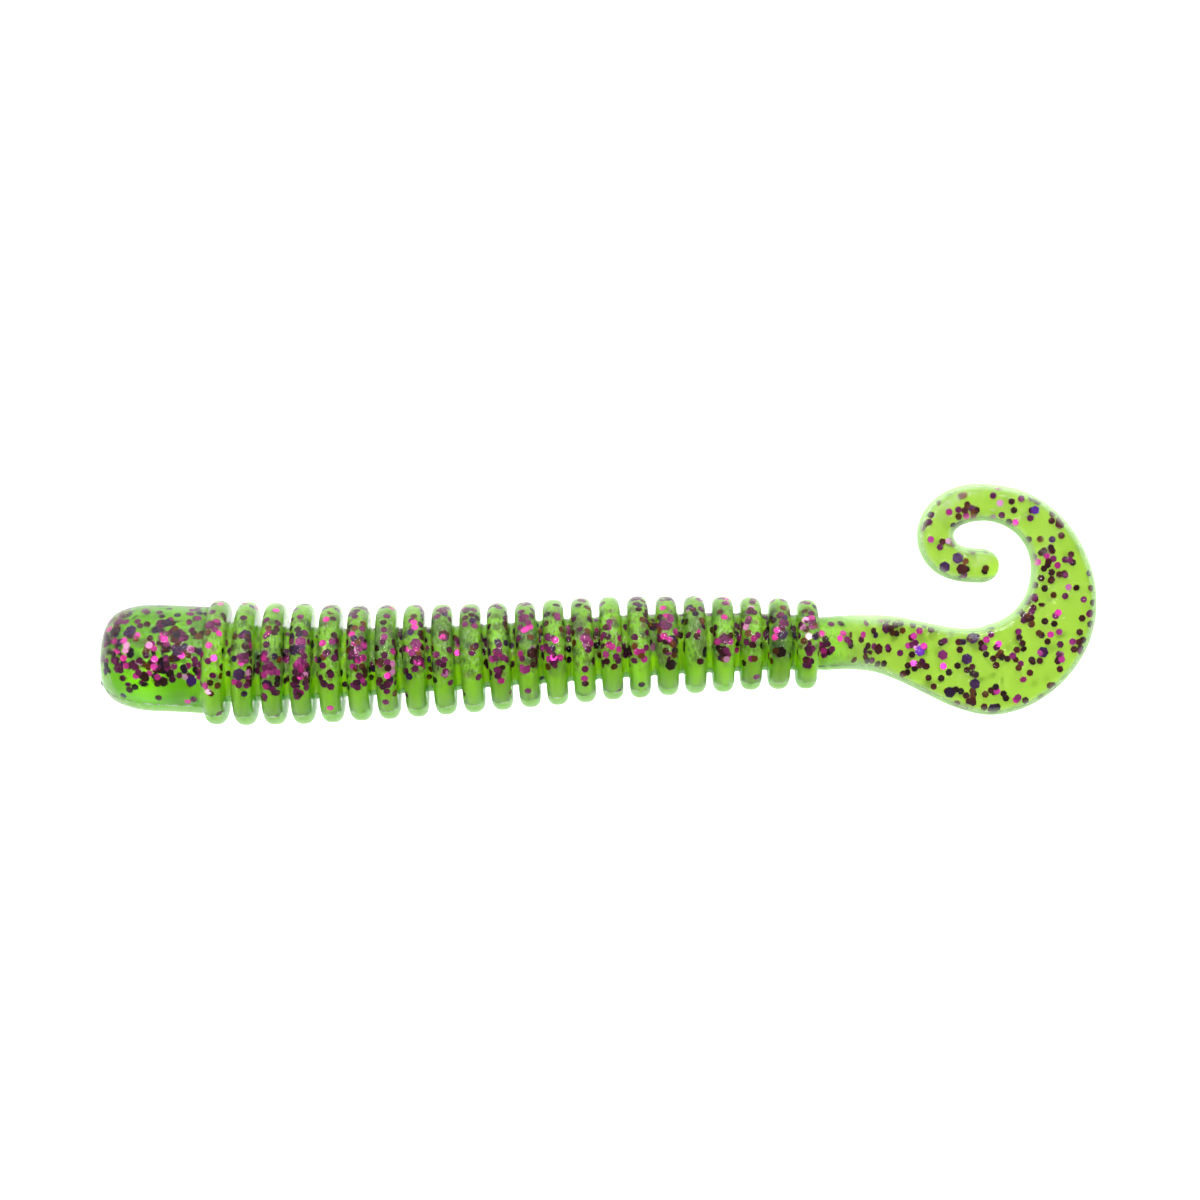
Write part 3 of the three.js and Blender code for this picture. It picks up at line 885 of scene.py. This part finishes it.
area_of = np.linalg.norm(np.cross(GRID[1:] - GRID[:-1], (np.roll(GRID, -1, axis=1) - GRID)[:-1]), axis=2)
middle = GRID[:-1]
clump = np.clip(1.0 + 1.5 * wobble(middle, 0.9, 21) + 0.9 * wobble(middle, 2.2, 23), 0.15, 2.6)
thickness = np.linalg.norm(GRID - DEEP, axis=2)[:-1]
free = 1 - 0.93 * (smooth((-np.cos(angle) - 0.30) / 0.28) * (1 - smooth((COLUMNS - 50.0) / 7.0)))[None, :]
facing = np.clip(NORMAL[:-1, :, 2], 0, 1)
rate = (2.25 + 1.35 * np.minimum(thickness, 1.15)) * free * clump
ring_end = np.clip((np.cos(angle) - 0.62) / 0.25, 0, 1)[None, :]
rate = rate * (1 - 0.55 * ring_end)
tail_rate = 0.95 * np.clip(0.6 + 0.4 * clump, 0.3, 1.6)
rate[STEM_START:] = tail_rate[STEM_START:]
underneath = np.clip(-NORMAL[:-1, :, 2], 0, 1)
rate *= 1 - underneath * np.where(np.arange(len(rate)) < STEM_START, 0.45, 0.70)[:, None]
rate[HEAD_END:STEM_START] *= 1 - 0.75 * np.abs(NORMAL[HEAD_END:STEM_START, :, 0])
rate[STEM_START:] *= smooth((np.abs(NORMAL[STEM_START:-1, :, 2]) - 0.35) / 0.6) * 1.12
rate[:HEAD_END] *= 0.84
rate[:5] = 0
rate[ROWS - 9:] = 0
for row in range(5, ROWS - 9):
    body = row < STEM_START
    for col in range(AROUND):
        expected = float(rate[row, col] * area_of[row, col])
        n = int(expected) + (1 if frand.random() < expected - int(expected) else 0)
        for _ in range(n):
            kind, size = choose(body, float(facing[row, col]), 0.45 if row < HEAD_END else 1.0)
            if body:
                drop(row, col, frand.random(), frand.random(), 0.06 + 0.9 * frand.random() ** 1.3, kind, size, 0.42)
            else:
                drop(row, col, frand.random(), frand.random(), 0.08 + 0.8 * frand.random() ** 1.2, kind, size,
                     0.16 if frand.random() < 0.8 else 0.9)

# the larger and brighter flakes that stand out, by place from above: x, y, kind, radius, tilt; the near-white pink
# ones, and the slanted one, are painted glints
NOTED = [
    (-38.12, -1.55, "violet", 0.52, 0.1), (-36.98, -3.99, "violet", 0.54, 0.1),
    (-35.85, -6.71, "bright", 0.5, 0.1), (-31.63, -6.11, "violet", 0.56, 0.2),
    (-41.79, -3.12, "pink", 0.34, 0.25), (-41.51, -3.55, "painted_glint", 0.34, 0.1), (-41.6, -3.99, "painted_glint", 0.32, 0.1),
    (-41.78, -4.69, "pink", 0.33, 0.3), (-39.51, -3.55, "painted_glint", 0.34, 0.15),
    (-39.07, -3.81, "pink", 0.33, 0.3), (-40.47, -5.12, "painted_glint", 0.4, 1.25), (-40.69, -6.27, "pink", 0.33, 0.2),
    (-39.99, -6.27, "dark", 0.46, 0.1), (-34.36, -7.65, "painted_glint", 0.33, 0.5), (-34.65, -7.11, "pink", 0.34, 0.3),
    (-41.37, -7.52, "dark", 0.36, 0.1), (-40.84, -7.25, "dark", 0.34, 0.1),
    (-38.88, -8.25, "dark", 0.33, 0.2), (31.89, 4.14, "violet", 0.54, 0.05),
    (33.24, -3.03, "violet", 0.54, 0.05), (32.7, -4.92, "violet", 0.52, 0.05),
    (33.42, -7.16, "violet", 0.5, 0.1), (24.7, -4.02, "dark", 0.52, 0.1), (28.48, -4.2, "bright", 0.5, 0.12),
    (28.21, -3.84, "painted_glint", 0.34, 0.3), (28.84, -3.75, "pink", 0.33, 0.1), (27.94, -2.86, "pink", 0.33, 0.1),
    (38.81, 8.45, "bright", 0.42, 0.2), (41.06, 7.2, "dark", 0.46, 0.15), (31.09, 5.67, "painted_glint", 0.32, 0.1),
    (35.67, 9.08, "painted_glint", 0.33, 0.1), (30.54, -4.56, "plum", 0.48, 0.2)]
for x, y, kind, size, tilt in NOTED:
    place, normal, index, _ = SKIN_TREE.ray_cast(Vector((x, y, 20.0)), Vector((0, 0, -1)))
    if place is None:
        continue
    row, col = index // AROUND, index % AROUND
    n = Vector(NORMAL[row, col]).normalized()
    lean = Vector((math.cos(1.1), math.sin(1.1), 0.0))
    face = (n * math.cos(tilt) + (lean - n * lean.dot(n)).normalized() * math.sin(tilt)).normalized()
    for under_skin in (0.10, 0.16, 0.24, 0.36, 0.5):
        centre = place - n * under_skin
        if all(depth(q) > 0.022 for q in corners(centre, face, 0.4, size)):
            flake_lists[piece_at(row)].append((row, centre, kind, size, face, 0.4))
            break

THICK = 0.025
KINDS = ["dark", "plum", "pink", "violet", "painted_glint", "bright", "brown"]
count = 0
for k, flakes in flake_lists.items():
    if not flakes:
        continue
    verts, faces, mats, weights = [], [], [], []
    for row, centre, kind, size, normal, spin in flakes:
        base = len(verts)
        for side in (-1, 1):
            for p in corners(centre, normal, spin, size):
                verts.append(tuple((p + normal * (side * THICK / 2)) * MM))
        faces.append(tuple(base + j for j in reversed(range(6))))
        faces.append(tuple(base + 6 + j for j in range(6)))
        for j in range(6):
            n = (j + 1) % 6
            faces.append((base + j, base + n, base + 6 + n, base + 6 + j))
        mats += [KINDS.index(kind)] * 8
        if k >= 0:
            w = float(row_weight(k, np.array([row]))[0])
        else:
            w = 0.0
        weights += [w] * 12
        count += 1
    name = "flakes_head" if k < 0 else f"flakes_{CHAIN[k + 1]}"
    me = bpy.data.meshes.new(name)
    me.from_pydata(verts, [], faces)
    me.update()
    for kd in KINDS:
        me.materials.append(FLAKES[kd])
    me.polygons.foreach_set("material_index", mats)
    ob = bpy.data.objects.new(name, me)
    scene.collection.objects.link(ob)
    if k < 0:
        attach(ob, "head")
    else:
        a, b = CHAIN[k], CHAIN[k + 1]
        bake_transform(ob)
print("flakes", count, "rows", ROWS)

# ------------------------------------------------------------------ floor, world, lights
def floor():
    me = bpy.data.meshes.new("floor")
    me.from_pydata([(-12, -12, 0), (12, -12, 0), (12, 12, 0), (-12, 12, 0)], [], [(0, 1, 2, 3)])
    ob = bpy.data.objects.new("floor", me)
    ob.location.z = -0.090                                  # below the lowest the worm reaches when it bends down
    scene.collection.objects.link(ob)
    m, nt, p = new_material("floor_white")
    p.inputs["Base Color"].default_value = (0.50, 0.50, 0.50, 1)
    p.inputs["Roughness"].default_value = 0.9
    p.inputs["Specular IOR Level"].default_value = 0.1
    p.inputs["Emission Color"].default_value = (1, 1, 1, 1)
    p.inputs["Emission Strength"].default_value = 1.05
    me.materials.append(m)
    ob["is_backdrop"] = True
    return ob


floor()


def sky():
    """A soft window along +Y, darker to -Y, and a pale band all round near the horizon."""
    w = bpy.data.worlds.new("world")
    scene.world = w
    w.use_nodes = True
    nt = w.node_tree
    bg = nt.nodes["Background"]
    xyz = nt.nodes.new("ShaderNodeSeparateXYZ")
    nt.links.new(nt.nodes.new("ShaderNodeTexCoord").outputs["Generated"], xyz.inputs[0])

    def curve(source, lo, hi, a, b):
        m = nt.nodes.new("ShaderNodeMapRange")
        m.interpolation_type = "SMOOTHSTEP"
        for key, v in (("From Min", lo), ("From Max", hi), ("To Min", a), ("To Max", b)):
            m.inputs[key].default_value = v
        nt.links.new(source, m.inputs["Value"])
        return m.outputs[0]

    def maths(kind, a, b):
        m = nt.nodes.new("ShaderNodeMath")
        m.operation = kind
        for i, v in enumerate((a, b)):
            if isinstance(v, float):
                m.inputs[i].default_value = v
            else:
                nt.links.new(v, m.inputs[i])
        return m.outputs[0]
    y, z = xyz.outputs[1], xyz.outputs[2]
    high = curve(y, -0.60, 0.15, 0.26, 0.44)               # dark to -Y, paler overhead
    window = curve(y, 0.12, 0.92, 0.0, 2.4)
    # a narrow lamp from overhead towards +Y: glassy streaks on the rings' crests
    across = curve(maths("ABSOLUTE", xyz.outputs[0], 0.0), 0.02, 0.06, 1.0, 0.0)
    lengthwise = maths("MULTIPLY", curve(y, 0.02, 0.16, 0.0, 1.0), curve(y, 0.50, 0.66, 1.0, 0.0))
    lamp = maths("MULTIPLY", maths("MULTIPLY", across, lengthwise), 45.0)
    window = maths("ADD", window, lamp)
    band = curve(z, 0.12, 0.28, 1.0, 0.0)
    sky_level = maths("ADD", high, window)
    level = maths("ADD", maths("MULTIPLY", sky_level, maths("SUBTRACT", 1.0, band)), maths("MULTIPLY", band, 0.95))
    nt.links.new(level, bg.inputs[1])
    bg.inputs[0].default_value = (1, 1, 1, 1)


sky()

# ------------------------------------------------------------------ render look
scene.view_settings.view_transform = "Standard"
scene.view_settings.look = "None"
scene.view_settings.exposure = 0.0
scene.view_settings.gamma = 1.0
scene.cycles.use_denoising = True
scene.cycles.denoiser = "OPENIMAGEDENOISE"
scene.cycles.max_bounces = 24
scene.cycles.transmission_bounces = 20
scene.cycles.transparent_max_bounces = 24
scene.cycles.glossy_bounces = 8
scene.cycles.diffuse_bounces = 4
scene.cycles.caustics_refractive = True
scene.cycles.caustics_reflective = False
scene.cycles.blur_glossy = 0.2

lo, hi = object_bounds()
